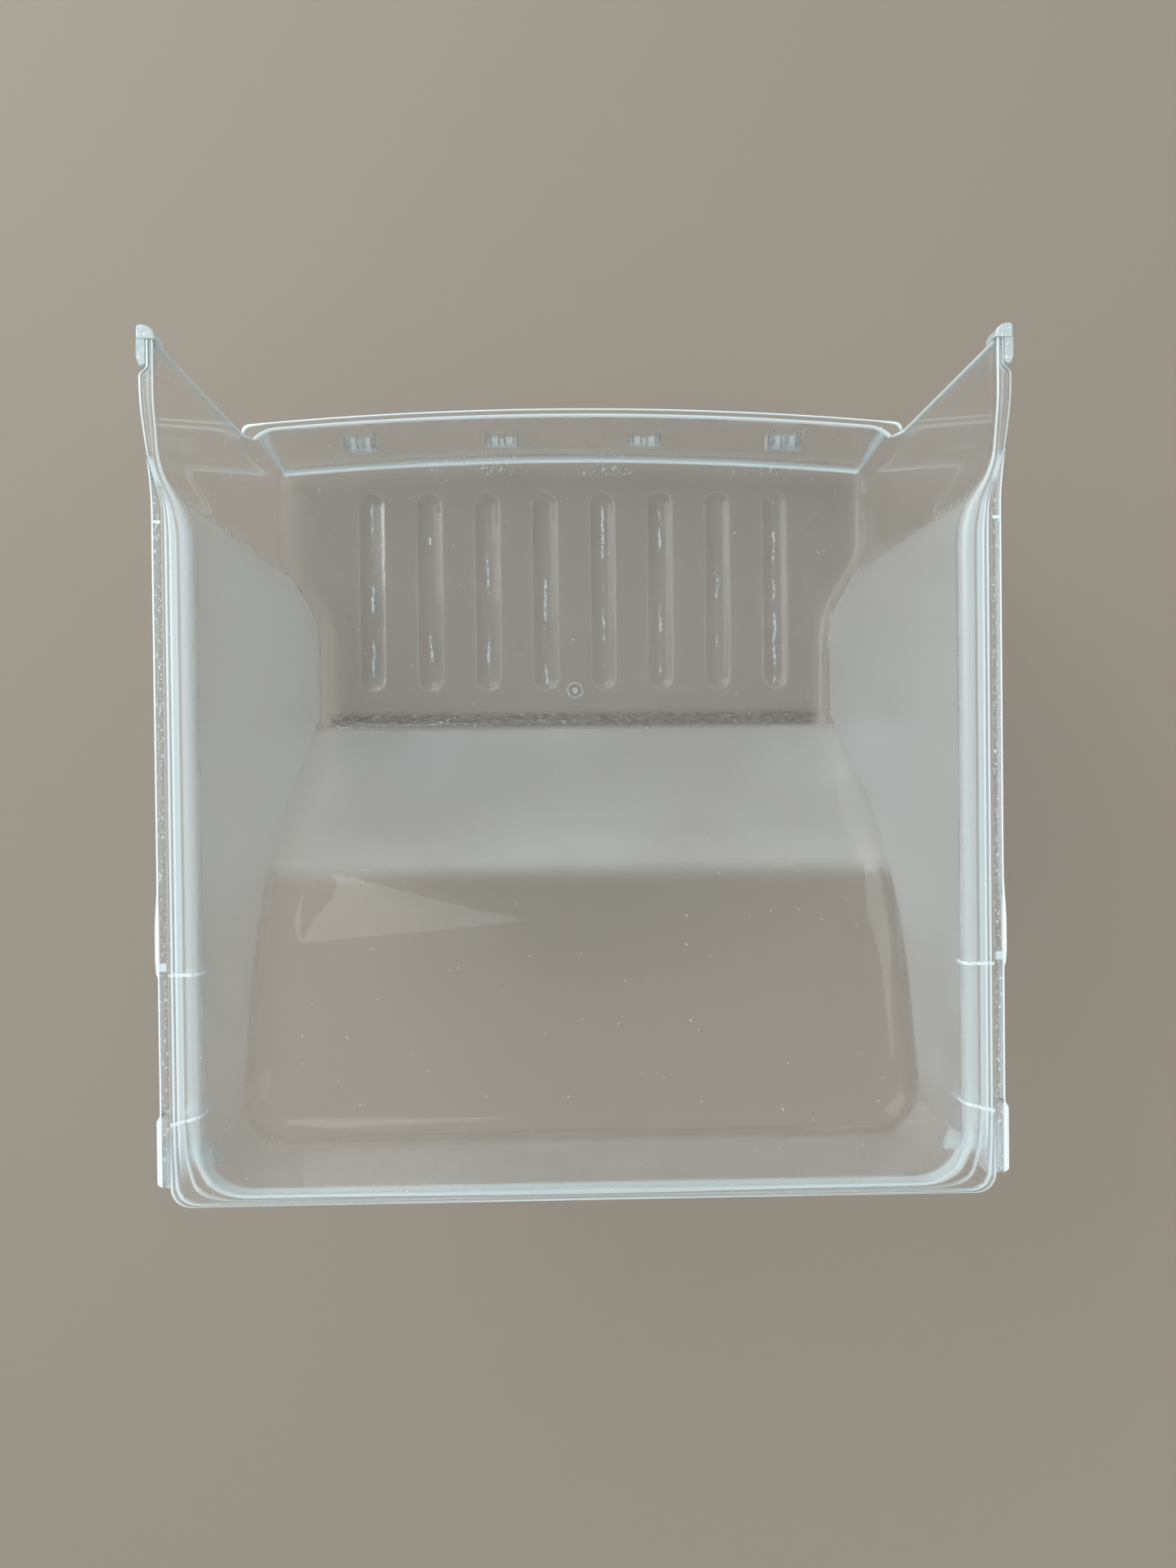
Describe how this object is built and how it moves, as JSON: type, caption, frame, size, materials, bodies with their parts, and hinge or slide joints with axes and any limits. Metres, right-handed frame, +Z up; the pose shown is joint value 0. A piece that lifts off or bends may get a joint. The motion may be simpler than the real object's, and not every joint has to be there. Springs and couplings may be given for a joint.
{
  "type": "fridge bin",
  "caption": "Clear moulded fridge bin with a ribbed front floor, a step up to a raised rear floor, an open front above a low curved lip, hanging side rails and rear rollers.",
  "frame": {"origin": "under the middle of the bin's box, on the plane that the floor ribs stand on", "axes": "+Z up, the open front with the low lip faces -Y, +Y towards the raised rear floor, +X to the right of somebody facing the front"},
  "size_m": [0.48, 0.4988, 0.296],
  "materials": {
    "clear_plastic": "polished clear styrene, with a pale cyan tint at its edges",
    "frosted_plastic": "clear styrene with a fine etched texture",
    "white_nylon": "satin white nylon"
  },
  "bodies": {
    "bin": {"front_floor": "frosted_plastic", "step_slope": "frosted_plastic", "rear_floor": "frosted_plastic", "rear_wall": "frosted_plastic", "left_side_wall": "frosted_plastic", "right_side_wall": "frosted_plastic", "left_wing": "clear_plastic", "right_wing": "clear_plastic", "front_lip": "clear_plastic", "panel_clips": "clear_plastic", "gate_mark": "clear_plastic", "rear_rim": "clear_plastic", "left_rail": "clear_plastic", "right_rail": "clear_plastic", "left_stop": "clear_plastic", "right_stop": "clear_plastic", "left_catch": "clear_plastic", "right_catch": "clear_plastic", "left_gussets": "clear_plastic", "right_gussets": "clear_plastic", "left_axle": "clear_plastic", "right_axle": "clear_plastic"},
    "left_wheel": {"left_roller": "white_nylon"},
    "right_wheel": {"right_roller": "white_nylon"}
  },
  "joints": [
    {"name": "left_roller_spin", "type": "hinge", "parent": "bin", "child": "left_wheel", "pos_m": [-0.236, 0.226, 0.258], "axis": [1, 0, 0], "continuous": true},
    {"name": "right_roller_spin", "type": "hinge", "parent": "bin", "child": "right_wheel", "pos_m": [0.236, 0.226, 0.258], "axis": [1, 0, 0], "continuous": true}
  ]
}
